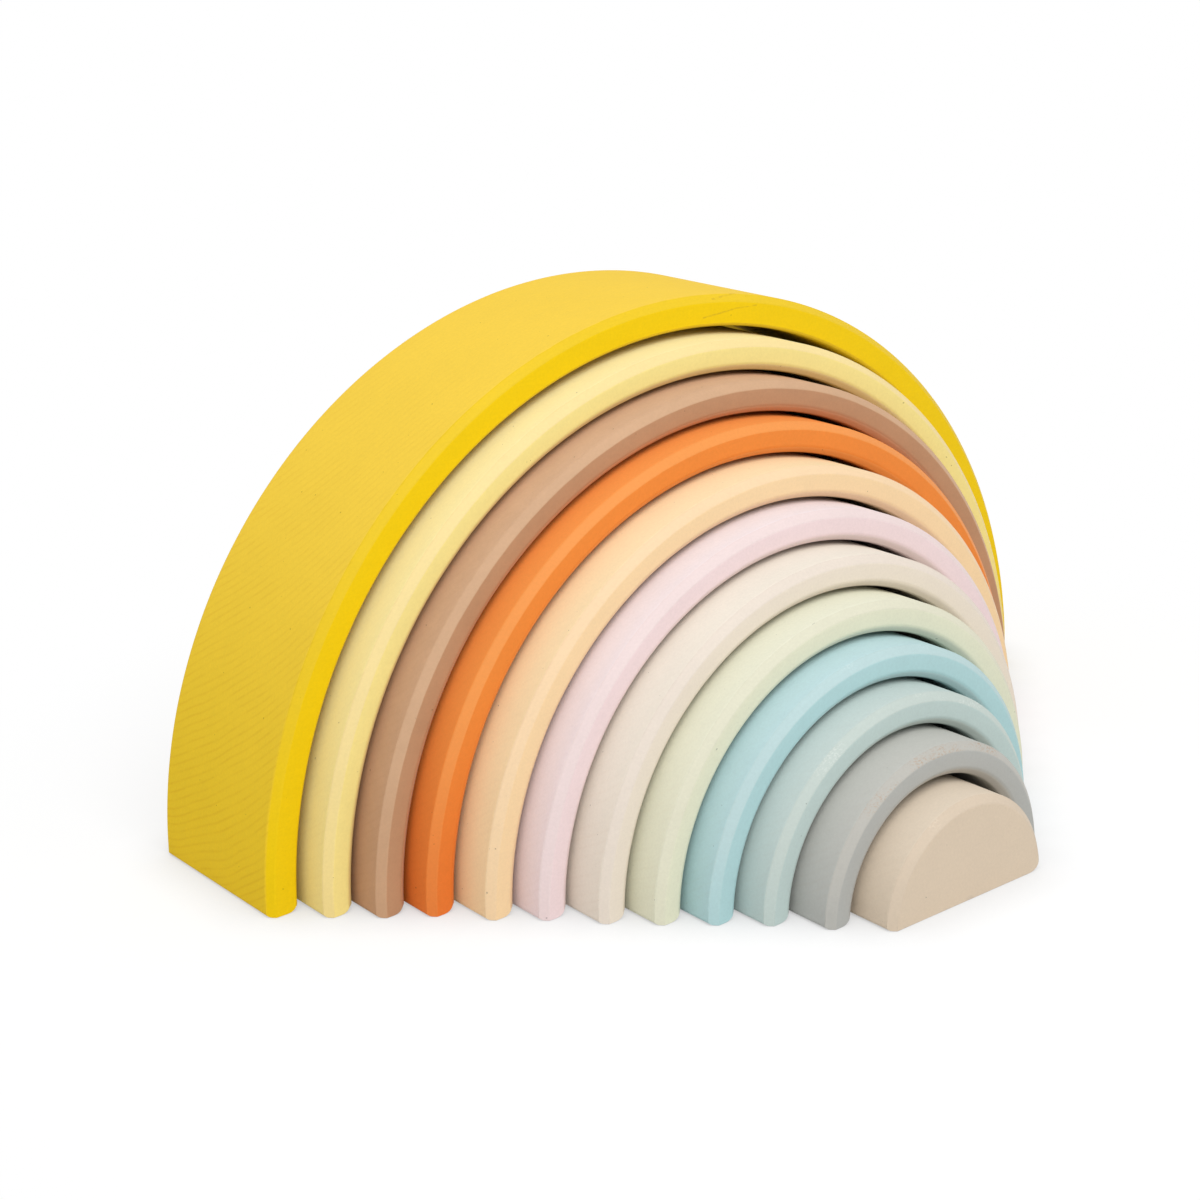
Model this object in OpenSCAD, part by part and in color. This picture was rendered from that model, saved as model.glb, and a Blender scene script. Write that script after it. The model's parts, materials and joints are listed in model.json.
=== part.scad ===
// Rainbow stacker: eleven nesting arches and a half disc, drawn out one in front of another.
// X runs across the span, Y from the front (minus) to the back (plus), and Z up from the floor.

/* [Pieces] */
// Radius of the half disc in the middle
disc_radius = 36.5; // [20:0.5:80]
// Air between the half disc and the smallest arch, measured along the radius
disc_gap = 2.6; // [0.8:0.1:5]
// Wall of every arch, measured along its radius
arch_wall = 11.2; // [8:0.1:16]
// Air between two arches, measured along the radius
nest_gap = 1.6; // [0.8:0.1:4]
// Air between the outermost arch and the next one, which is wider
outer_gap = 2.9; // [0.8:0.1:5]
// Depth of every piece, from its front face to its back face
depth = 70; // [30:1:120]

/* [Edges] */
// Flat bevel along the curved edges of every piece
edge_bevel = 2.5; // [0.5:0.1:3.5]
// Bevel along the inner edges of the outermost arch, which are left sharper
outer_inner_bevel = 1; // [0.5:0.1:3.5]
// Flat bevel along the outer and inner edges under each foot
foot_bevel = 2.2; // [0.5:0.1:3]
// Height that the saw and the sander take off the flat underside
saw_trim = 1.2; // [0.5:0.1:4]

/* [Display] */
// Mean distance that a piece stands in front of the arch around it
pull_step = 12.9; // [0:0.1:40]

/* [Hidden] */
// Pieces from the outermost to the innermost
NODES = [
    "arch_01_yellow",
    "arch_02_straw",
    "arch_03_tan",
    "arch_04_orange",
    "arch_05_peach",
    "arch_06_pink",
    "arch_07_cream",
    "arch_08_green",
    "arch_09_blue",
    "arch_10_mint",
    "arch_11_grey",
    "half_disc_sand"
];

// Paint of each piece, in the same order
PAINTS = [
    "#F2CA14",
    "#F5DC86",
    "#BE8B66",
    "#F2883C",
    "#F6CF9E",
    "#EED3D3",
    "#E7DAC6",
    "#DADFBE",
    "#A8CFD2",
    "#B4C8BF",
    "#ADABA5",
    "#D6C3A8"
];

// Each step forward, going inward, as a share of the mean step: they are set out by hand, unevenly
pull_step_shares = [0.98, 0.92, 0.80, 1.16, 0.92, 1.15, 0.98, 0.91, 0.95, 1.16, 1.07];

// Distance that every cut runs on past the wood
cut_overrun = 1;
// Segments in a full turn
$fn = 180;

innermost = len(NODES) - 1;

// Air between an arch, counted from the outermost, and the piece inside it
function gap_inside(index) =
    index == 0 ? outer_gap :
    index == innermost - 1 ? disc_gap :
    nest_gap;

// Bevel along the inner edges of an arch
function inner_bevel(index) = index == 0 ? outer_inner_bevel : edge_bevel;

// Inner radius of an arch: the piece inside it and the air around that piece
function inner_radius(index) = outer_radius(index + 1) + gap_inside(index);

// Outer radius of a piece: the half disc's own, or an arch's inner radius and its wall
function outer_radius(index) =
    index == innermost ? disc_radius : inner_radius(index) + arch_wall;

// Distance that a piece stands in front of the outermost arch
function pull_out(index) =
    index == 0 ? 0 : pull_out(index - 1) + pull_step * pull_step_shares[index - 1];

// Back face of the outermost arch, with the whole row centred on the origin
row_back = (depth + pull_out(innermost)) / 2;

// Section of an arch: radius along X, depth along Y, and a bevel on each of its four corners
module arch_section(inner, outer, bevel_inside) {
    polygon([
        [inner + bevel_inside, 0],
        [outer - edge_bevel, 0],
        [outer, edge_bevel],
        [outer, depth - edge_bevel],
        [outer - edge_bevel, depth],
        [inner + bevel_inside, depth],
        [inner, depth - bevel_inside],
        [inner, bevel_inside]
    ]);
}

// Half the section of the disc, from its axis out to its bevelled rim
module disc_section(outer) {
    polygon([
        [0, 0],
        [outer - edge_bevel, 0],
        [outer, edge_bevel],
        [outer, depth - edge_bevel],
        [outer - edge_bevel, depth],
        [0, depth]
    ]);
}

// Wedge that bevels the lower corner of a foot whose wall stands at X = 0 and whose wood is at minus X
module foot_wedge() {
    polygon([
        [-foot_bevel - cut_overrun, -cut_overrun],
        [cut_overrun, -cut_overrun],
        [cut_overrun, foot_bevel + cut_overrun]
    ]);
}

// Outline, seen from the front, of the wood taken off under a piece of the given outer radius
module underside_waste(outer) {
    waste_height = saw_trim + cut_overrun;
    translate([-outer - cut_overrun, -waste_height])
        square([2 * (outer + cut_overrun), waste_height]);
    for (side = [0, 1])
        mirror([side, 0])
            translate([outer, 0])
                foot_wedge();
}

// The same bevel on the inner edge of both feet of an arch
module inner_foot_waste(inner) {
    for (side = [0, 1])
        mirror([side, 0])
            translate([inner, 0])
                mirror([1, 0])
                    foot_wedge();
}

// Stands a section up as half a turn about the Y axis, with its axis just below the floor
module half_turn() {
    translate([0, 0, -saw_trim])
        rotate([90, 0, 0])
            rotate_extrude(angle = 180)
                children();
}

// Runs a front outline through the full depth of a piece, and past both of its faces
module through_depth() {
    translate([0, cut_overrun, 0])
        rotate([90, 0, 0])
            linear_extrude(depth + 2 * cut_overrun)
                children();
}

// Puts a piece at its place in the row, its back face at the row's back less its pull
module in_row(index) {
    translate([0, row_back - pull_out(index), 0])
        children();
}

// One arch: a bevelled half ring with two flat feet
module arch(index) {
    color(PAINTS[index])
        in_row(index)
            difference() {
                half_turn()
                    arch_section(inner_radius(index), outer_radius(index), inner_bevel(index));
                through_depth() {
                    underside_waste(outer_radius(index));
                    inner_foot_waste(inner_radius(index));
                }
            }
}

// The solid half disc that fills the smallest arch
module half_disc() {
    color(PAINTS[innermost])
        in_row(innermost)
            difference() {
                half_turn()
                    disc_section(outer_radius(innermost));
                through_depth()
                    underside_waste(outer_radius(innermost));
            }
}

for (index = [0 : innermost - 1])
    arch(index);
half_disc();
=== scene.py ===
"""Looks of the rainbow stacker: eleven painted wooden arches and a half disc, drawn out in a row.

Lengths are in metres, in the part's own frame: X runs across the span, the front is towards minus Y and
Z is up from the floor. Inside the materials, lengths are in millimetres.
"""

import json
import logging
import math
from dataclasses import dataclass, field
from enum import Enum
from functools import cached_property
from typing import Union

import bmesh
import bpy
from mathutils import Matrix, Vector, noise


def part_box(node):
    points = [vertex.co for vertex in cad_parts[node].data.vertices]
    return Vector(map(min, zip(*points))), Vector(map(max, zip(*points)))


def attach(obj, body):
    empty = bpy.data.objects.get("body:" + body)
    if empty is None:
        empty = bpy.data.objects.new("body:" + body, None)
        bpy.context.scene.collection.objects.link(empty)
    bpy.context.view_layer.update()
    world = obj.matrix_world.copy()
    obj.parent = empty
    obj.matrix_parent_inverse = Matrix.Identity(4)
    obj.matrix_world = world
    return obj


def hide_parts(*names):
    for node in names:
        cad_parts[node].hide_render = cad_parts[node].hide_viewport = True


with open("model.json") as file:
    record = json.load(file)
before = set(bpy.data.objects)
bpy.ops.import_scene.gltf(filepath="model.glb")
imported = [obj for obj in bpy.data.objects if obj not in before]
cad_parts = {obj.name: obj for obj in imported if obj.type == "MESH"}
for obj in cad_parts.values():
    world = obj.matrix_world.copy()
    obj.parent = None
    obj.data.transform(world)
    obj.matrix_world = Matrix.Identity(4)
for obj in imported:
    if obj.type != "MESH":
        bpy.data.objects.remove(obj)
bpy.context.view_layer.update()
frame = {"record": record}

log = logging.getLogger("rainbow_stacker")

MM = 0.001
PER_METRE = 1000.0

# Sizes that the pieces share
SAW_TRIM = 1.2 * MM
EDGE_BEVEL = 2.5 * MM
OUTERMOST_INNER_BEVEL = 1.0 * MM
ARCH_WALL = 11.2 * MM

# How near to a plane a point counts as in it
ON_PLANE = 0.001 * MM
# Angle past which an edge counts as sharp
SHARP_ANGLE = math.radians(30.0)
# Part of a normal along Y past which a face looks to the front or to the back
FACES_Y = 0.5

# Distance between the noise lines of two pieces, which make the borders of their bevels waver
LINE_PER_PIECE = 3.1
# The same from the front to the back, from a curve to a face, and from the hollow to the outside
LINE_TO_BACK = 7.7
LINE_TO_FACE = 13.3
LINE_TO_OUTSIDE = 29.9
# Fading, narrowing and number of the finer layers in those lines
LINE_FADE = 0.5
LINE_NARROWING = 2.0
LINE_LAYERS = 3

# Distance that each piece's paint is moved through the noise
SHIFT_PER_PIECE = 17.3
# Turn of the wave texture, in radians, over a length of one
WAVE_RATE = 20.0

Colour = tuple[float, float, float, float]
WHITE: Colour = (1.0, 1.0, 1.0, 1.0)

# What a Math node takes: a number that varies over a surface, or a plain one
Number = Union["Value", float]


class Blend(Enum):
    """How one colour is laid over another."""

    OVER = "MIX"
    MULTIPLY = "MULTIPLY"


def linear(hex_colour: str) -> Colour:
    """Turns a colour as it is seen on a screen into the scene's linear light, by the sRGB curve.

    Args:
        hex_colour: six hexadecimal digits after a hash sign.

    Returns:
        Red, green, blue and an alpha of one.
    """
    channels = []
    for place in (1, 3, 5):
        seen = int(hex_colour[place:place + 2], 16) / 255.0
        channels.append(seen / 12.92 if seen <= 0.04045 else ((seen + 0.055) / 1.055) ** 2.4)
    return (*channels, 1.0)


def grey(level: float) -> Colour:
    """Neutral colour of that linear lightness."""
    return (level, level, level, 1.0)


class Value:
    """A number that varies over a surface: one output socket, with the usual arithmetic."""

    def __init__(self, nodes: "NodeSet", socket: bpy.types.NodeSocket) -> None:
        """Keeps the socket and the set of nodes that it belongs to."""
        self.nodes = nodes
        self.socket = socket

    def math(self, operation: str, *others: Number) -> "Value":
        """Adds one Math node.

        Args:
            operation: the Math node's operation.
            others: what follows this value in the node's inputs.

        Returns:
            The node's result.
        """
        return self.nodes.math(operation, self, *others)

    def __add__(self, other: Number) -> "Value":
        """Sum."""
        return self.math("ADD", other)

    __radd__ = __add__

    def __sub__(self, other: Number) -> "Value":
        """Difference."""
        return self.math("SUBTRACT", other)

    def __rsub__(self, other: Number) -> "Value":
        """Difference, from a plain number."""
        return self.nodes.math("SUBTRACT", other, self)

    def __mul__(self, other: Number) -> "Value":
        """Product."""
        return self.math("MULTIPLY", other)

    __rmul__ = __mul__

    def __truediv__(self, other: Number) -> "Value":
        """Quotient."""
        return self.math("DIVIDE", other)

    def __rtruediv__(self, other: Number) -> "Value":
        """Quotient, of a plain number."""
        return self.nodes.math("DIVIDE", other, self)

    def __pow__(self, other: Number) -> "Value":
        """Power."""
        return self.math("POWER", other)

    def __abs__(self) -> "Value":
        """Size without its sign."""
        return self.math("ABSOLUTE")

    def least(self, other: Number) -> "Value":
        """The smaller of two."""
        return self.math("MINIMUM", other)

    def most(self, other: Number) -> "Value":
        """The larger of two."""
        return self.math("MAXIMUM", other)

    def about_zero(self) -> "Value":
        """Noise about one half, moved to lie about zero."""
        return self - 0.5

    def rise(self, start: float, end: float) -> "Value":
        """Climbs smoothly from 0 at start to 1 at end.

        Args:
            start: value that gives 0.
            end: value that gives 1.

        Returns:
            A value from 0 to 1.
        """
        inputs = {"Value": self, "From Min": start, "From Max": end}
        return self.nodes.add("ShaderNodeMapRange", {"interpolation_type": "SMOOTHSTEP"}, inputs, "Result")

    def fall(self, start: float, end: float) -> "Value":
        """Drops smoothly from 1 at start to 0 at end."""
        return 1.0 - self.rise(start, end)


@dataclass(frozen=True)
class Clouds:
    """A pattern of noise: the length of one cloud along X, Y and Z in millimetres, and its finer layers.

    The shift sets the pattern apart from the other patterns on the same piece.
    """

    size: tuple[float, float, float]
    detail: float
    shift: float
    roughness: float = 0.5


BROAD_CLOUDS = Clouds((34.0, 26.0, 26.0), 3.0, 0.0)
BLOTCHES = Clouds((7.0, 5.0, 5.0), 3.0, 5.0)
SPECKLES = Clouds((0.9, 0.9, 0.9), 1.0, 9.0)
DIRT = Clouds((1.3, 1.3, 1.3), 0.0, 15.0)
FIBRES = Clouds((14.0, 0.55, 0.55), 2.0, 3.0, 0.6)
RING_BENDS = Clouds((90.0, 48.0, 62.0), 2.0, 1.0)
RING_STRENGTHS = Clouds((40.0, 22.0, 5.0), 2.0, 2.0)
RUBBED_PATCHES = Clouds((15.0, 9.0, 9.0), 1.0, 11.0)
RUBBED_FLAKES = Clouds((0.9, 0.6, 0.6), 2.0, 13.0, 0.7)
SCRATCH_BREAKS = Clouds((2.2, 1.0, 1.0), 2.0, 21.0)


class NodeSet:
    """The nodes of one material or of the world, added one at a time."""

    # Places of the Mix node's sockets for colours
    mix_amount = 0
    mix_under = 6
    mix_over = 7
    mix_result = 2

    def __init__(self, tree: bpy.types.NodeTree) -> None:
        """Empties the tree."""
        self.tree = tree
        tree.nodes.clear()

    def add(self, kind: str, settings: dict | None = None, inputs: dict | None = None,
            output: str | int = 0) -> Value:
        """Adds any node.

        Args:
            kind: the node's type.
            settings: its own properties, which are set first.
            inputs: numbers, colours or values for its sockets, by name or by place.
            output: name or place of the socket that is wanted.

        Returns:
            That output, which is empty on a node without outputs.
        """
        node = self.tree.nodes.new(kind)
        for name, setting in (settings or {}).items():
            setattr(node, name, setting)
        for name, given in (inputs or {}).items():
            socket = node.inputs[name]
            if isinstance(given, Value):
                self.tree.links.new(given.socket, socket)
            else:
                socket.default_value = given
        return Value(self, node.outputs[output] if node.outputs else None)

    def math(self, operation: str, *terms: Number) -> Value:
        """Adds one Math node.

        Args:
            operation: its operation.
            terms: numbers or values for its inputs, in order.

        Returns:
            Its result.
        """
        return self.add("ShaderNodeMath", {"operation": operation}, dict(enumerate(terms)))

    def vector(self, operation: str, inputs: dict) -> Value:
        """Adds one Vector Math node.

        Args:
            operation: its operation.
            inputs: vectors by place, and Scale by name where the operation has one.

        Returns:
            Its vector.
        """
        return self.add("ShaderNodeVectorMath", {"operation": operation}, inputs, "Vector")

    def mix(self, amount: Number, under: Value | Colour, over: Value | Colour,
            blend: Blend = Blend.OVER) -> Value:
        """Lays one colour over another.

        Args:
            amount: from 0, all under, to 1, all over.
            under: colour or value below.
            over: colour or value on top.
            blend: how they meet.

        Returns:
            The colour.
        """
        settings = {"data_type": "RGBA", "blend_type": blend.value}
        inputs = {self.mix_amount: amount, self.mix_under: under, self.mix_over: over}
        return self.add("ShaderNodeMix", settings, inputs, self.mix_result)

    def noise(self, place: Value, clouds: Clouds, shift: float) -> Value:
        """Cloudy noise about one half.

        Args:
            place: position in millimetres.
            clouds: the pattern.
            shift: moves the pattern, so that no two pieces match.

        Returns:
            A value from 0 to 1.
        """
        moved = shift + clouds.shift
        scaled = self.add("ShaderNodeMapping", {"vector_type": "POINT"}, {
            "Vector": place,
            "Location": (moved, moved, moved),
            "Scale": tuple(1.0 / length for length in clouds.size),
        })
        return self.add("ShaderNodeTexNoise", {"noise_dimensions": "3D"}, {
            "Vector": scaled,
            "Scale": 1.0,
            "Detail": clouds.detail,
            "Roughness": clouds.roughness,
        })


@dataclass(frozen=True)
class Scuff:
    """A straight scratch in the paint of a front face, in millimetres.

    Its ends are given across the span and up from the floor. Its depth is the share of paint that is gone.
    """

    start: tuple[float, float]
    end: tuple[float, float]
    width: float
    depth: float

    # Share of the width over which all of that paint is gone
    core_share = 0.3


@dataclass(frozen=True)
class Paint:
    """Thin water-based paint over sanded wood.

    The curved face around the outside is given a painted highlight, lightest at the top where the light
    falls, and the bevels a colour that is partly rubbed paint and partly painted light. The shares say
    how much of each thing shows: 0 is none of it and 1 is as much as this kind of paint ever has. Near
    the floor, low_bevel_share is left of the bevels' own colour, and low_shade_share darkens the paint as
    painted shade.
    """

    colour: str
    # Colour of the curve around the outside, lightened there as a painted highlight
    lit_curve_colour: str
    # Colour of the bevels: partly rubbed paint and partly painted light
    bevel_rub_and_light_colour: str
    seed: int
    grain_share: float = 0.25
    mottle_share: float = 0.4
    wear_share: float = 0.0
    low_bevel_share: float = 0.65
    low_shade_share: float = 0.0
    worn_colour: str = "#E9E2D6"
    scuffs: tuple[Scuff, ...] = ()

    # Growth rings: their tint, their spacing and how far they bend along X, Y and Z, in millimetres
    ring_tint = "#D8B48C"
    ring_spacing = 2.8
    ring_bend = (0.0, 3.0, 7.5)
    # Place of the pith behind the back face and above the floor, and its spread over the pieces
    pith_back = 41.0
    pith_back_spread = 23.0
    pith_height = 184.0
    pith_height_spread = 31.0
    # Narrowness of the late wood, strength of the faintest rings, and the noise between faint and full
    ring_narrowness = 5.0
    faint_ring = 0.25
    ring_range = (0.3, 0.7)
    # Depth of the rings in the colour, and what the end grain adds to it
    ring_depth = 0.02
    end_ring_depth = 0.18

    # Depth of each other pattern in the colour, the least share of the fibres, the noise that is dirt,
    # and the depth of the painted shade in the hollow under each arch
    cloud_depth = 0.15
    blotch_depth = 0.10
    speckle_depth = 0.10
    fibre_depth = 0.045
    fibre_least = 0.3
    dirt_depth = 0.4
    dirt_range = (0.87, 0.90)
    hollow_shade_depth = 0.3

    # Heights, as shares of the piece's own, between which the bevels' colour, partly painted light from
    # above, grows to full, and between which the painted shade near the floor fades out
    bevel_heights = (0.1, 0.45)
    low_shade_heights = (0.0, 0.6)

    # Wear: its depth, the noise at which it starts, how far a full share lowers that, the width of its
    # border, the heights between which it sets in, and the noise between paint and bare wood
    worn_depth = 0.5
    wear_start = 0.80
    wear_reach = 0.42
    wear_border = 0.2
    wear_heights = (0.6, 0.85)
    flake_range = (0.5, 0.62)
    # Noise between the breaks in a scratch and its full depth
    break_range = (0.35, 0.6)

    # Roughness of the plain paint, and what each pattern and place adds to it
    plain_rough = 0.5
    blotch_rough = 0.10
    fibre_rough = 0.08
    worn_rough = 0.12
    hollow_rough = 0.4
    curve_rough = 0.3

    # Height of each pattern in the relief and depth of its grooves, as shares of the relief's distance
    fibre_height = 0.55
    speckle_height = 0.30
    cloud_height = 0.5
    ring_groove = 0.45
    worn_groove = 0.6
    relief_strength = 0.35
    relief_distance = 0.08 * MM

    refraction = 1.47
    specular_level = 0.12

    def material(self, name: str, piece: "Piece") -> bpy.types.Material:
        """Makes the finish of one piece.

        Args:
            name: the material's name.
            piece: the piece that wears it, whose sizes place the bevels.

        Returns:
            The material.
        """
        material = bpy.data.materials.new(name)
        material.use_nodes = True
        nodes = NodeSet(material.node_tree)
        at = SurfacePlace(nodes, piece)
        shift = SHIFT_PER_PIECE * self.seed

        cloud = nodes.noise(at.place, BROAD_CLOUDS, shift)
        blotch = nodes.noise(at.place, BLOTCHES, shift)
        speckle = nodes.noise(at.place, SPECKLES, shift)
        dirt = nodes.noise(at.place, DIRT, shift).rise(*self.dirt_range)
        fibre = nodes.noise(at.place, FIBRES, shift)
        rings = self.growth_rings(nodes, at, shift)
        bevel = at.bevel_mask(blotch)
        worn = self.worn_spots(nodes, at, bevel, shift)

        fibre_share = self.fibre_least + (1.0 - self.fibre_least) * self.grain_share
        tone = 1.0 + self.cloud_depth * self.mottle_share * cloud.about_zero()
        tone = tone + self.blotch_depth * self.mottle_share * blotch.about_zero()
        tone = tone + self.speckle_depth * speckle.about_zero()
        tone = tone + self.fibre_depth * fibre_share * fibre.about_zero()
        # Painted shade: the colour is darkened on the face under each arch and a little on the bevels that
        # lead to it
        tone = (tone - self.dirt_depth * dirt) * (1.0 - self.hollow_shade_depth * at.hollow)

        # The bevels' colour, partly rubbed paint and partly painted light, grows towards the top, where the
        # light falls
        high = at.height.rise(*self.bevel_heights)
        bevel_rub_and_light = bevel * (self.low_bevel_share + (1.0 - self.low_bevel_share) * high)
        # Painted shade near the floor: the colour is multiplied by itself, darker and more saturated
        # towards the feet
        low_painted_shade = self.low_shade_share * at.height.fall(*self.low_shade_heights)
        ring_tint = self.grain_share * (self.ring_depth + self.end_ring_depth * at.end_grain) * rings
        # Painted highlight: the curve around the outside takes its lighter colour, most at the top, where
        # the light falls
        colour = nodes.mix(at.outside, linear(self.colour), linear(self.lit_curve_colour))
        colour = nodes.mix(bevel_rub_and_light, colour, linear(self.bevel_rub_and_light_colour))
        colour = nodes.mix(low_painted_shade, colour, colour, Blend.MULTIPLY)
        colour = nodes.vector("SCALE", {0: colour, "Scale": tone})
        colour = nodes.mix(ring_tint, colour, linear(self.ring_tint), Blend.MULTIPLY)
        colour = nodes.mix(self.worn_depth * worn, colour, linear(self.worn_colour))
        if self.scuffs:
            colour = nodes.mix(self.scratches(nodes, at, shift), colour, linear(self.worn_colour))

        roughness = self.plain_rough + self.blotch_rough * blotch.about_zero()
        roughness = roughness + self.fibre_rough * fibre.about_zero() + self.worn_rough * worn
        roughness = roughness + self.hollow_rough * at.hollow + self.curve_rough * at.curved

        relief = self.fibre_height * fibre + self.speckle_height * speckle + self.cloud_height * cloud
        relief = relief - self.ring_groove * self.grain_share * rings - self.worn_groove * worn
        normal = nodes.add("ShaderNodeBump", {}, {
            "Strength": self.relief_strength,
            "Distance": self.relief_distance,
            "Height": relief,
        })

        shader = nodes.add("ShaderNodeBsdfPrincipled", {}, {
            "Base Color": colour,
            "Roughness": roughness,
            "Normal": normal,
            "IOR": self.refraction,
            "Specular IOR Level": self.specular_level,
        })
        nodes.add("ShaderNodeOutputMaterial", {}, {"Surface": shader})
        return material

    def growth_rings(self, nodes: NodeSet, at: "SurfacePlace", shift: float) -> Value:
        """Growth rings about a pith that runs along the span, high above the floor and behind the piece.

        Args:
            nodes: where the nodes go.
            at: position on the surface.
            shift: moves the pith from piece to piece.

        Returns:
            1 in the dark late wood of each ring and 0 in the early wood.
        """
        behind = self.pith_back + shift % self.pith_back_spread
        above = self.pith_height + shift % self.pith_height_spread
        centred = nodes.add("ShaderNodeMapping", {"vector_type": "POINT"}, {
            "Vector": at.place,
            "Location": (0.0, -at.back_y - behind, -above),
        })
        bend_share = nodes.noise(at.place, RING_BENDS, shift)
        bend = nodes.vector("SCALE", {0: self.ring_bend, "Scale": bend_share})
        bent = nodes.vector("ADD", {0: centred, 1: bend})
        waves = nodes.add("ShaderNodeTexWave", {"wave_type": "RINGS", "rings_direction": "X"}, {
            "Vector": bent,
            "Scale": math.tau / (WAVE_RATE * self.ring_spacing),
        }, "Fac")
        strength = nodes.noise(at.place, RING_STRENGTHS, shift).rise(*self.ring_range)
        return waves ** self.ring_narrowness * (self.faint_ring + (1.0 - self.faint_ring) * strength)

    def worn_spots(self, nodes: NodeSet, at: "SurfacePlace", bevel: Value, shift: float) -> Value:
        """Places near the top where the paint on an outer bevel is rubbed through to the wood.

        Args:
            nodes: where the nodes go.
            at: position on the surface.
            bevel: 1 on the bevels.
            shift: moves the pattern from piece to piece.

        Returns:
            1 where wood shows.
        """
        start = self.wear_start - self.wear_reach * self.wear_share
        patch = nodes.noise(at.place, RUBBED_PATCHES, shift).rise(start, start + self.wear_border)
        flake = nodes.noise(at.place, RUBBED_FLAKES, shift).rise(*self.flake_range)
        return bevel * at.outer_half * at.height.rise(*self.wear_heights) * patch * flake

    def scratches(self, nodes: NodeSet, at: "SurfacePlace", shift: float) -> Value:
        """Thin broken lines where something has scratched the front face.

        Args:
            nodes: where the nodes go.
            at: position on the surface.
            shift: moves the breaks from piece to piece.

        Returns:
            How much of the paint is gone.
        """
        lines = []
        for scuff in self.scuffs:
            core = scuff.core_share * scuff.width
            lines.append(scuff.depth * at.near_line(scuff).fall(core, scuff.width))
        gone = lines[0]
        for line in lines[1:]:
            gone = gone.most(line)
        breaks = nodes.noise(at.place, SCRATCH_BREAKS, shift).rise(*self.break_range)
        return gone * breaks * at.on_front


class SurfacePlace:
    """Where a point of a piece's surface lies: around its arc, through its depth and near its bevels."""

    # Waver of the painted border of a bevel, and the distances past it between which the paint ends
    border_waver = 0.3
    border_range = (0.12, 0.35)
    # Share of the bevel's width at which a curved face begins
    curve_start = 0.8
    # Blur of the border between the outer and the inner half of a wall, to each side
    half_blur = 0.5
    # Share of the painted highlight on the outside that is left at the floor
    foot_share = 0.3
    # Distances from the face of the hollow between which its shade ends
    hollow_range = (0.2, 0.6)
    # Share of that shade on the bevels that lead to it, and the share of their width at which it fades
    hollow_bevel_share = 0.12
    hollow_bevel_fade = 0.5
    # Depth behind the front face at which scratches end, in bevels
    front_end = 1.5

    def __init__(self, nodes: NodeSet, piece: "Piece") -> None:
        """Reads Object coordinates, in millimetres, and the piece's sizes.

        Args:
            nodes: where the nodes go.
            piece: the piece that the surface belongs to.
        """
        coordinates = nodes.add("ShaderNodeTexCoord", {}, {}, "Object")
        self.place = nodes.vector("SCALE", {0: coordinates, "Scale": PER_METRE})
        self.x, self.y, self.z = (
            nodes.add("ShaderNodeSeparateXYZ", {}, {"Vector": self.place}, axis) for axis in "XYZ")
        self.front_y = piece.front * PER_METRE
        self.back_y = piece.back * PER_METRE
        lifted = self.z + SAW_TRIM * PER_METRE
        self.radius = (self.x * self.x + lifted * lifted) ** 0.5
        self.outer_radius = piece.outer_radius * PER_METRE
        self.middle_radius = piece.middle_radius * PER_METRE
        self.bevel = piece.edge_bevel * PER_METRE
        self.inner_bevel = piece.inner_bevel * PER_METRE
        self.from_hollow = self.radius - piece.inner_radius * PER_METRE
        from_inner_rim = self.from_hollow + self.bevel - self.inner_bevel
        self.from_rim = (self.outer_radius - self.radius).least(from_inner_rim)
        self.from_face = (self.y - self.front_y).least(self.back_y - self.y)

    def bevel_mask(self, waver: Value) -> Value:
        """1 on the bevels, with a border that wavers a little.

        Args:
            waver: noise about one half.

        Returns:
            A value from 0 to 1.
        """
        past_bevel = self.from_rim + self.from_face - self.bevel + self.border_waver * waver.about_zero()
        return past_bevel.fall(*self.border_range)

    @cached_property
    def curved(self) -> Value:
        """1 on the curved faces, between the bevels."""
        return self.from_face.rise(self.curve_start * self.bevel, self.bevel)

    @cached_property
    def height(self) -> Value:
        """0 at the floor and 1 at the top of the piece."""
        return self.z / self.outer_radius

    @cached_property
    def outer_half(self) -> Value:
        """1 on the outer half of the wall and 0 on the inner half."""
        return self.radius.rise(self.middle_radius - self.half_blur, self.middle_radius + self.half_blur)

    @cached_property
    def outside(self) -> Value:
        """Painted highlight: 1 at the top of the curved face around the outside, where the light falls
        most, and less towards the feet.
        """
        climb = self.foot_share + (1.0 - self.foot_share) * self.height.rise(0.0, 1.0)
        return climb * self.curved * self.outer_half

    @cached_property
    def hollow(self) -> Value:
        """1 on the curved face under an arch, and a little on the bevels that lead to it, which carry a
        painted shade.
        """
        on_bevel = self.from_hollow.fall(self.hollow_bevel_fade * self.inner_bevel, self.inner_bevel)
        return self.from_hollow.fall(*self.hollow_range).most(self.hollow_bevel_share * on_bevel)

    @cached_property
    def end_grain(self) -> Value:
        """1 on the curved faces near the feet, where the wood is cut across its grain."""
        across = abs(self.x) / self.radius.most(1.0)
        return across * across * self.curved

    @cached_property
    def on_front(self) -> Value:
        """1 on the front face and its bevels."""
        return (self.y - self.front_y).fall(self.bevel, self.front_end * self.bevel)

    def near_line(self, scuff: Scuff) -> Value:
        """Distance to a scuff, measured in the plane of the front face.

        Args:
            scuff: the line.

        Returns:
            Millimetres from the line's nearest point.
        """
        run = scuff.end[0] - scuff.start[0]
        climb = scuff.end[1] - scuff.start[1]
        length = math.hypot(run, climb)
        from_start = self.x - scuff.start[0]
        above_start = self.z - scuff.start[1]
        along = from_start * (run / length) + above_start * (climb / length)
        aside = above_start * (run / length) - from_start * (climb / length)
        beyond = (along - length).most(along * -1.0).most(0.0)
        return (aside * aside + beyond * beyond) ** 0.5


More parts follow.
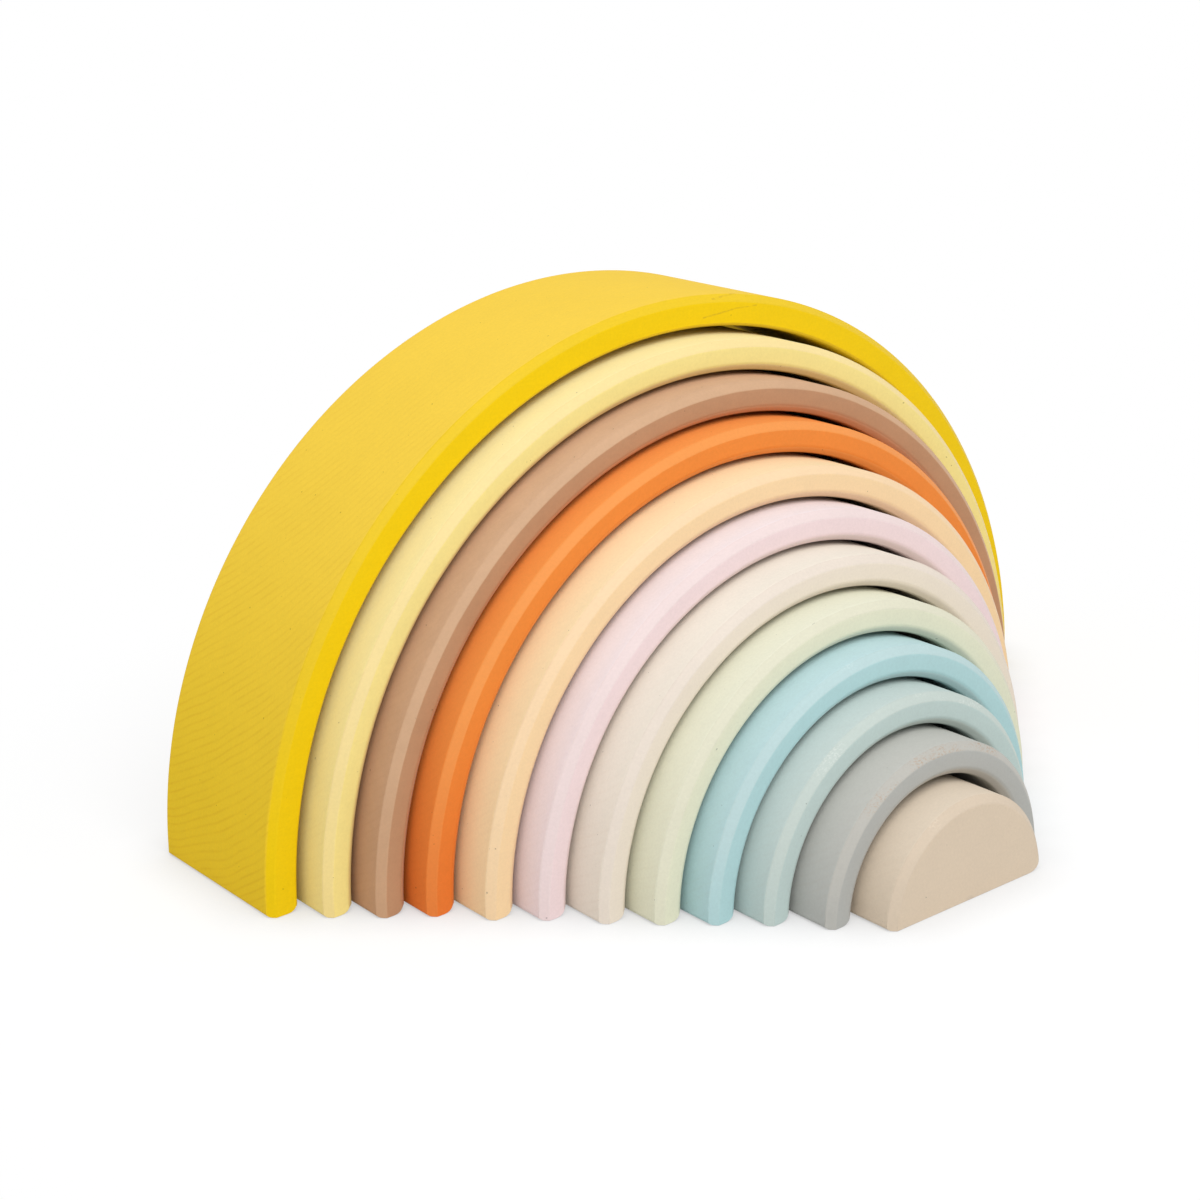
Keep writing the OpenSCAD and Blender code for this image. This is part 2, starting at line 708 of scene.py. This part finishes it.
def bevel_edges(work: bmesh.types.BMesh, edges: list[bmesh.types.BMEdge], width: float,
                segments: int) -> None:
    """Bevels some edges of a mesh.

    Args:
        work: the mesh being made.
        edges: the edges to bevel.
        width: distance from an edge to each border of its bevel.
        segments: 1 for a flat bevel, and more for a rounding.
    """
    bmesh.ops.bevel(work, geom=edges, offset=width, offset_type="OFFSET", segments=segments, profile=0.5,
                    affect="EDGES", material=-1, loop_slide=True, clamp_overlap=False)


def add_object(work: bmesh.types.BMesh, name: str) -> bpy.types.Object:
    """Turns a mesh that has been made into an object of the scene.

    Args:
        work: the mesh, which is freed.
        name: name of the object and of its mesh.

    Returns:
        The object, at the origin.
    """
    mesh = bpy.data.meshes.new(name)
    work.to_mesh(mesh)
    work.free()
    made = bpy.data.objects.new(name, mesh)
    bpy.context.scene.collection.objects.link(made)
    return made


@dataclass
class Piece:
    """One loose piece of the set, standing on the floor at its place in the row.

    The borders of the bevels are rounded by edge_soft outside, and in the hollow by hollow_soft_share of
    the bevel there. That starts above the foot, at soft_start_share of the rounding under it.
    """

    name: str
    node: str
    body: str
    slot: str
    paint: Paint
    edge_bevel: float = EDGE_BEVEL
    inner_bevel: float = EDGE_BEVEL
    wall: float = ARCH_WALL
    foot_round: float = 2.3 * MM
    outer_foot_round: float = 1.5 * MM
    foot_round_segments: int = 4
    foot_height: float = 5.0 * MM
    edge_soft: float = 0.45 * MM
    hollow_soft_share: float = 0.4
    soft_segments: int = 3
    soft_start_share: float = 0.8
    waver: float = 0.09 * MM
    waver_length: float = 45.0 * MM
    step_length: float = 3.0 * MM
    least_steps: int = 48
    front: float = field(init=False)
    back: float = field(init=False)
    outer_radius: float = field(init=False)

    def __post_init__(self) -> None:
        """Takes the place and the outer radius from the CAD solid."""
        low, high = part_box(self.node)
        self.front = low.y
        self.back = high.y
        self.outer_radius = high.z + SAW_TRIM

    @property
    def inner_radius(self) -> float:
        """Radius of the hollow under the piece."""
        return self.outer_radius - self.wall

    @property
    def middle_radius(self) -> float:
        """Radius half way through the wall."""
        return self.outer_radius - self.wall / 2.0

    @property
    def axis_point(self) -> Vector:
        """Centre of the arcs, in the plane of the front face and just below the floor."""
        return Vector((0.0, self.front, -SAW_TRIM))

    def build(self) -> bpy.types.Object:
        """Models the piece and hands it to the frame.

        Returns:
            The finished object, without its paint.
        """
        work = bmesh.new()
        self.front_sheet(work)
        self.thicken(work)
        self.cut_bevels(work)
        self.hand_sand(work)
        self.round_feet(work)
        self.soften(work)
        piece = add_object(work, self.name)
        shading = piece.modifiers.new("even_shading", "WEIGHTED_NORMAL")
        shading.keep_sharp = True
        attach(piece, self.body)
        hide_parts(self.node)
        return piece

    def dress(self, piece: bpy.types.Object) -> None:
        """Paints the piece."""
        piece.data.materials.append(self.paint.material(self.slot, self))

    def start_angle(self, radius: float) -> float:
        """Angle above the floor at which the arc of a foot of the given radius begins."""
        return math.asin((self.foot_height + SAW_TRIM) / radius)

    def on_circle(self, radius: float, angle: float) -> Vector:
        """Point of the front plane at that radius and angle."""
        return self.axis_point + radius * Vector((math.cos(angle), 0.0, math.sin(angle)))

    def front_sheet(self, work: bmesh.types.BMesh) -> None:
        """Makes the outline of the front face as a flat sheet.

        Args:
            work: the mesh being made.
        """
        raise NotImplementedError

    def sweep(self, work: bmesh.types.BMesh, parts: list, start: float) -> list:
        """Spins what stands at one foot over the arc to the other foot.

        Args:
            work: the mesh being made.
            parts: points and edges at the start of the arc.
            start: angle of the start above the floor.

        Returns:
            The points and edges at the end of the arc.
        """
        turn = math.pi - 2.0 * start
        steps = max(self.least_steps, round(self.outer_radius * turn / self.step_length))
        spun = bmesh.ops.spin(work, geom=parts, cent=self.axis_point, axis=(0.0, -1.0, 0.0), angle=turn,
                              steps=steps, use_duplicate=False)
        return spun["geom_last"]

    def drop_to_floor(self, points: list[bmesh.types.BMVert]) -> None:
        """Moves the ends of an outline down their circles to the floor.

        Args:
            points: the ends, still at the start of the arc.
        """
        for point in points:
            radius = math.hypot(point.co.x, point.co.z + SAW_TRIM)
            point.co.x = math.copysign(math.sqrt(radius ** 2 - SAW_TRIM ** 2), point.co.x)
            point.co.z = 0.0

    def thicken(self, work: bmesh.types.BMesh) -> None:
        """Draws the front sheet back through the piece's depth.

        Args:
            work: the mesh being made.
        """
        drawn = bmesh.ops.extrude_face_region(work, geom=work.faces[:])
        moved = [part for part in drawn["geom"] if isinstance(part, bmesh.types.BMVert)]
        bmesh.ops.translate(work, verts=moved, vec=(0.0, self.back - self.front, 0.0))
        bmesh.ops.recalc_face_normals(work, faces=work.faces[:])

    def on_floor(self, edge: bmesh.types.BMEdge) -> bool:
        """True where an edge lies on the floor."""
        return all(abs(point.co.z) < ON_PLANE for point in edge.verts)

    def on_face(self, point: bmesh.types.BMVert) -> bool:
        """True where a point lies in the plane of the front face or of the back face."""
        return min(abs(point.co.y - self.front), abs(point.co.y - self.back)) < ON_PLANE

    def in_hollow(self, edge: bmesh.types.BMEdge) -> bool:
        """True for an edge on the inner half of the wall."""
        return (edge.verts[0].co - self.axis_point).xz.length < self.middle_radius

    def keeps_tip(self, edge: bmesh.types.BMEdge) -> bool:
        """True for an edge on a foot's outer side, where the corner of the front face stays sharp."""
        return not self.in_hollow(edge)

    def cut_bevels(self, work: bmesh.types.BMesh) -> None:
        """Cuts the flat bevel along the curved edges of both faces.

        Args:
            work: the mesh being made.
        """
        work.normal_update()
        outer_rims = []
        inner_rims = []
        for edge in work.edges:
            flat_sides = sum(abs(side.normal.y) > FACES_Y for side in edge.link_faces)
            if flat_sides == 1 and not self.on_floor(edge):
                (inner_rims if self.in_hollow(edge) else outer_rims).append(edge)
        bevel_edges(work, outer_rims, self.edge_bevel, 1)
        bevel_edges(work, inner_rims, self.inner_bevel, 1)

    def hand_sand(self, work: bmesh.types.BMesh) -> None:
        """Makes the borders of the bevels waver, each along its own surface.

        Args:
            work: the mesh being made.
        """
        middle_y = (self.front + self.back) / 2.0
        for point in work.verts:
            out = Vector((point.co.x, 0.0, point.co.z + SAW_TRIM))
            run = math.atan2(out.z, out.x) * self.outer_radius / self.waver_length
            line = LINE_PER_PIECE * self.paint.seed + LINE_TO_BACK * (point.co.y > middle_y)
            line += LINE_TO_FACE * self.on_face(point)
            line += LINE_TO_OUTSIDE * (out.length > self.middle_radius)
            place = Vector((run, line, 0.5))
            shift = self.waver * noise.fractal(place, LINE_FADE, LINE_NARROWING, LINE_LAYERS)
            if not self.on_face(point):
                point.co.y += shift
            elif point.co.z < ON_PLANE:
                point.co.x += shift
            else:
                point.co += shift * out.normalized()

    def round_feet(self, work: bmesh.types.BMesh) -> None:
        """Rounds the edges under the feet, all but the straight ones along the front and the back.

        Args:
            work: the mesh being made.
        """
        rounded = []
        tapered = []
        for edge in work.edges:
            on_faces = sum(self.on_face(point) for point in edge.verts)
            if not self.on_floor(edge) or on_faces == 2:
                continue
            if not self.keeps_tip(edge):
                rounded.append(edge)
            elif on_faces == 0:
                tapered.append(edge)
        bevel_edges(work, rounded, self.foot_round, self.foot_round_segments)
        bevel_edges(work, tapered, self.outer_foot_round, self.foot_round_segments)

    def soften(self, work: bmesh.types.BMesh) -> None:
        """Rounds the borders of the bevels above the feet, more so in the hollow, and closes the mesh.

        Args:
            work: the mesh being made.
        """
        work.normal_update()
        outside = []
        inside = []
        for edge in work.edges:
            lowest = min(point.co.z for point in edge.verts)
            rounding = self.outer_foot_round if self.keeps_tip(edge) else self.foot_round
            if lowest > self.soft_start_share * rounding and edge.calc_face_angle() > SHARP_ANGLE:
                (inside if self.in_hollow(edge) else outside).append(edge)
        bevel_edges(work, outside, self.edge_soft, self.soft_segments)
        bevel_edges(work, inside, self.hollow_soft_share * self.inner_bevel, self.soft_segments)
        bmesh.ops.remove_doubles(work, verts=work.verts[:], dist=ON_PLANE)
        bmesh.ops.recalc_face_normals(work, faces=work.faces[:])
        work.normal_update()
        for edge in work.edges:
            edge.smooth = edge.calc_face_angle() < SHARP_ANGLE
        for side in work.faces:
            side.smooth = True


@dataclass
class Arch(Piece):
    """A bevelled half ring with two flat feet."""

    def front_sheet(self, work: bmesh.types.BMesh) -> None:
        """Spins a line through the wall over the half turn, and runs both feet to the floor.

        Args:
            work: the mesh being made.
        """
        start = self.start_angle(self.middle_radius)
        inner = work.verts.new(self.on_circle(self.inner_radius, start))
        outer = work.verts.new(self.on_circle(self.outer_radius, start))
        wall = work.edges.new((inner, outer))
        last = self.sweep(work, [inner, outer, wall], start)
        ends = [wall, *(part for part in last if isinstance(part, bmesh.types.BMEdge))]
        grown = bmesh.ops.extrude_edge_only(work, edges=ends)
        self.drop_to_floor([part for part in grown["geom"] if isinstance(part, bmesh.types.BMVert)])


@dataclass
class HalfDisc(Piece):
    """The solid half disc at the middle of the set."""

    foot_round: float = 3.4 * MM
    step_length: float = 2.0 * MM

    @property
    def inner_radius(self) -> float:
        """The half disc has no hollow."""
        return 0.0

    def keeps_tip(self, edge: bmesh.types.BMEdge) -> bool:
        """True on the left: the right-hand corner is worn round."""
        return edge.verts[0].co.x < 0.0

    def front_sheet(self, work: bmesh.types.BMesh) -> None:
        """Spins a point over the half turn, runs both ends to the floor and fills the outline.

        Args:
            work: the mesh being made.
        """
        start = self.start_angle(self.outer_radius)
        first = work.verts.new(self.on_circle(self.outer_radius, start))
        last = self.sweep(work, [first], start)
        ends = [first, *(part for part in last if isinstance(part, bmesh.types.BMVert))]
        grown = bmesh.ops.extrude_vert_indiv(work, verts=ends)
        self.drop_to_floor(grown["verts"])
        work.edges.new(grown["verts"])
        bmesh.ops.contextual_create(work, geom=work.edges[:])


@dataclass
class Stage:
    """The floor, the light around it, the lamp and the camera.

    The fade of the floor is given in millimetres from the origin, and the camera's angles in degrees.
    """

    floor_radius: float = 6.0
    floor_segments: int = 96
    floor_drop: float = 0.2 * MM
    floor_white: float = 0.72
    shadow_share: float = 0.27
    floor_lift: float = 0.74
    contact_reach: float = 20.0 * MM
    contact_shadow_grey: float = 0.62
    fade_start: float = 205.0
    fade_end: float = 330.0
    sky_strength: float = 0.60
    lamp_power: float = 21.5
    lamp_size: float = 1.5
    lamp_place: tuple[float, float, float] = (-0.37, -1.03, 1.55)
    camera_place: tuple[float, float, float] = (-0.51336, -0.56193, 0.33863)
    camera_turn: float = -38.48
    camera_down: float = 18.90
    camera_roll: float = -1.645
    camera_lens: float = 68.786
    camera_near: float = 0.01
    sensor_width: float = 36.0

    def build(self) -> None:
        """Makes everything around the object."""
        self.lay_floor()
        self.light_sky()
        self.hang_lamp()
        self.place_camera()

    def lay_floor(self) -> None:
        """Lays a round pale floor that fades to plain white away from the object."""
        work = bmesh.new()
        low = Matrix.Translation((0.0, 0.0, -self.floor_drop))
        bmesh.ops.create_circle(work, cap_ends=True, segments=self.floor_segments, radius=self.floor_radius,
                                matrix=low)
        floor = add_object(work, "floor")
        floor.data.materials.append(self.floor_material())
        log.info("floor: %.1f m across", 2.0 * self.floor_radius)

    def floor_material(self) -> bpy.types.Material:
        """Makes the floor's finish: matt white that shows its own shadow close by, with a painted contact
        shadow near the object, and plain white further off.

        Returns:
            The material.
        """
        material = bpy.data.materials.new("pale_floor")
        material.use_nodes = True
        nodes = NodeSet(material.node_tree)
        coordinates = nodes.add("ShaderNodeTexCoord", {}, {}, "Object")
        distance = nodes.add("ShaderNodeVectorMath", {"operation": "LENGTH"}, {0: coordinates}, "Value")
        seen = self.seen_rays(nodes)
        away = (distance * PER_METRE).rise(self.fade_start, self.fade_end)
        matt = nodes.add("ShaderNodeBsdfDiffuse", {}, {"Color": grey(self.floor_white)})
        shadow = nodes.add("ShaderNodeBsdfDiffuse", {}, {"Color": grey(self.shadow_share)})
        # Painted contact shadow: the floor's glow turns grey where the object is near, by ambient occlusion
        open_share = nodes.add("ShaderNodeAmbientOcclusion", {}, {"Distance": self.contact_reach}, "AO")
        contact = nodes.mix(open_share, grey(self.contact_shadow_grey), WHITE)
        lift = nodes.add("ShaderNodeEmission", {}, {"Color": contact, "Strength": self.floor_lift})
        near = nodes.add("ShaderNodeAddShader", {}, {0: shadow, 1: lift})
        plain = nodes.add("ShaderNodeEmission", {}, {"Color": WHITE, "Strength": 1.0})
        shown = nodes.add("ShaderNodeMixShader", {}, {0: away, 1: near, 2: plain})
        surface = nodes.add("ShaderNodeMixShader", {}, {0: seen, 1: matt, 2: shown})
        nodes.add("ShaderNodeOutputMaterial", {}, {"Surface": surface})
        return material

    def seen_rays(self, nodes: NodeSet) -> Value:
        """1 for rays that come from the camera, straight, by a reflection or through something clear.

        Args:
            nodes: where the nodes go.

        Returns:
            1 or 0.
        """
        camera = nodes.add("ShaderNodeLightPath", {}, {}, "Is Camera Ray")
        glossy = nodes.add("ShaderNodeLightPath", {}, {}, "Is Glossy Ray")
        through = nodes.add("ShaderNodeLightPath", {}, {}, "Is Transmission Ray")
        return camera.most(glossy).most(through)

    def light_sky(self) -> None:
        """Lights the scene softly from all round, in front of plain white."""
        world = bpy.data.worlds.new("white_room")
        world.use_nodes = True
        bpy.context.scene.world = world
        nodes = NodeSet(world.node_tree)
        seen = self.seen_rays(nodes)
        strength = self.sky_strength + (1.0 - self.sky_strength) * seen
        sky = nodes.add("ShaderNodeBackground", {}, {"Color": WHITE, "Strength": strength})
        nodes.add("ShaderNodeOutputWorld", {}, {"Surface": sky})

    def hang_lamp(self) -> None:
        """Hangs one large soft lamp in front of the object, to the left and above."""
        data = bpy.data.lights.new("soft_lamp", "AREA")
        data.shape = "SQUARE"
        data.size = self.lamp_size
        data.energy = self.lamp_power
        lamp = bpy.data.objects.new("soft_lamp", data)
        lamp.location = self.lamp_place
        lamp.rotation_euler = (-lamp.location).to_track_quat("-Z", "Y").to_euler()
        bpy.context.scene.collection.objects.link(lamp)
        log.info("soft lamp: %.1f W", self.lamp_power)

    def place_camera(self) -> None:
        """Sets the camera up at the photograph's viewing angle."""
        data = bpy.data.cameras.new("camera")
        data.lens = self.camera_lens
        data.sensor_width = self.sensor_width
        data.clip_start = self.camera_near
        camera = bpy.data.objects.new("camera", data)
        turn = Matrix.Rotation(math.radians(self.camera_turn), 4, "Z")
        tilt = Matrix.Rotation(math.radians(90.0 - self.camera_down), 4, "X")
        roll = Matrix.Rotation(math.radians(self.camera_roll), 4, "Z")
        camera.matrix_world = Matrix.Translation(self.camera_place) @ turn @ tilt @ roll
        bpy.context.scene.collection.objects.link(camera)
        bpy.context.scene.camera = camera
        bpy.context.scene.view_settings.view_transform = "Standard"
        log.info("camera: %.1f mm lens", self.camera_lens)


OUTERMOST = "arch_01_yellow"
INNERMOST = "half_disc_sand"

YELLOW_SCUFFS = (
    Scuff((11.0, 170.1), (26.0, 171.2), 0.45, 0.35),
    Scuff((25.0, 171.4), (37.4, 171.0), 0.40, 0.25),
    Scuff((17.0, 176.0), (30.9, 176.2), 0.40, 0.30),
)

# Paint of each piece, from the outermost to the innermost
PAINTS: dict[str, Paint] = {
    OUTERMOST: Paint("#F0CA09", "#F6D04A", "#E8C426", seed=1, grain_share=1.0, low_bevel_share=0.0,
                     worn_colour="#A97F2C", scuffs=YELLOW_SCUFFS),
    "arch_02_straw": Paint("#F8E492", "#F8EAAF", "#F2DB9B", seed=2, low_shade_share=0.1),
    "arch_03_tan": Paint("#BD906D", "#D1AB8C", "#CDA684", seed=3, grain_share=0.4, mottle_share=1.0),
    "arch_04_orange": Paint("#ED8B3D", "#F7984C", "#EE974F", seed=4, grain_share=0.3, low_shade_share=0.32),
    "arch_05_peach": Paint("#F6D6A7", "#F7E1B5", "#F2D3AB", seed=5, grain_share=0.3),
    "arch_06_pink": Paint("#EFD9DA", "#EEE1E4", "#E9D6D4", seed=6, grain_share=0.2),
    "arch_07_cream": Paint("#EADECE", "#EDE5D7", "#E4D8CB", seed=7),
    "arch_08_green": Paint("#E4E3C9", "#E6E6D1", "#DDDBC5", seed=8, grain_share=0.2),
    "arch_09_blue": Paint("#B2D4D6", "#BDD9DD", "#B9D2D3", seed=9, grain_share=0.2, wear_share=0.5,
                          low_bevel_share=0.3, worn_colour="#DCEBEC"),
    "arch_10_mint": Paint("#BFD0CC", "#C6D3CF", "#C1CDC7", seed=10, grain_share=0.2, wear_share=0.6,
                          worn_colour="#DEE4DF"),
    "arch_11_grey": Paint("#B3B4B0", "#C1C1BB", "#BAB8B1", seed=11, grain_share=0.3, wear_share=1.0,
                          worn_colour="#B5906E"),
    INNERMOST: Paint("#DAC8B1", "#DECFBB", "#D4C3AE", seed=12, wear_share=0.6, worn_colour="#EBDDCA"),
}


def read_set(record: dict) -> list[Piece]:
    """Lists the pieces from the outermost to the innermost.

    Args:
        record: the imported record.

    Returns:
        The arches, then the half disc.
    """
    bodies = {}
    for body, members in record["behaviour"]["bodies"].items():
        for node in members:
            bodies[node] = body
    slots = {part["node"]: part["material_slot"] for part in record["subparts"]}
    pieces: list[Piece] = []
    for node, paint in PAINTS.items():
        kind = HalfDisc if node == INNERMOST else Arch
        inner_bevel = OUTERMOST_INNER_BEVEL if node == OUTERMOST else EDGE_BEVEL
        pieces.append(kind(name=bodies[node], node=node, body=bodies[node], slot=slots[node], paint=paint,
                           inner_bevel=inner_bevel))
    return pieces


def main() -> None:
    """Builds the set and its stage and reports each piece."""
    logging.basicConfig(level=logging.INFO, format="%(name)s: %(message)s")
    for piece in read_set(frame["record"]):
        made = piece.build()
        piece.dress(made)
        faces = len(made.data.polygons)
        log.info("%s: %d faces, outer radius %.1f mm", piece.name, faces, piece.outer_radius / MM)
    Stage().build()


if __name__ == "__main__":
    main()
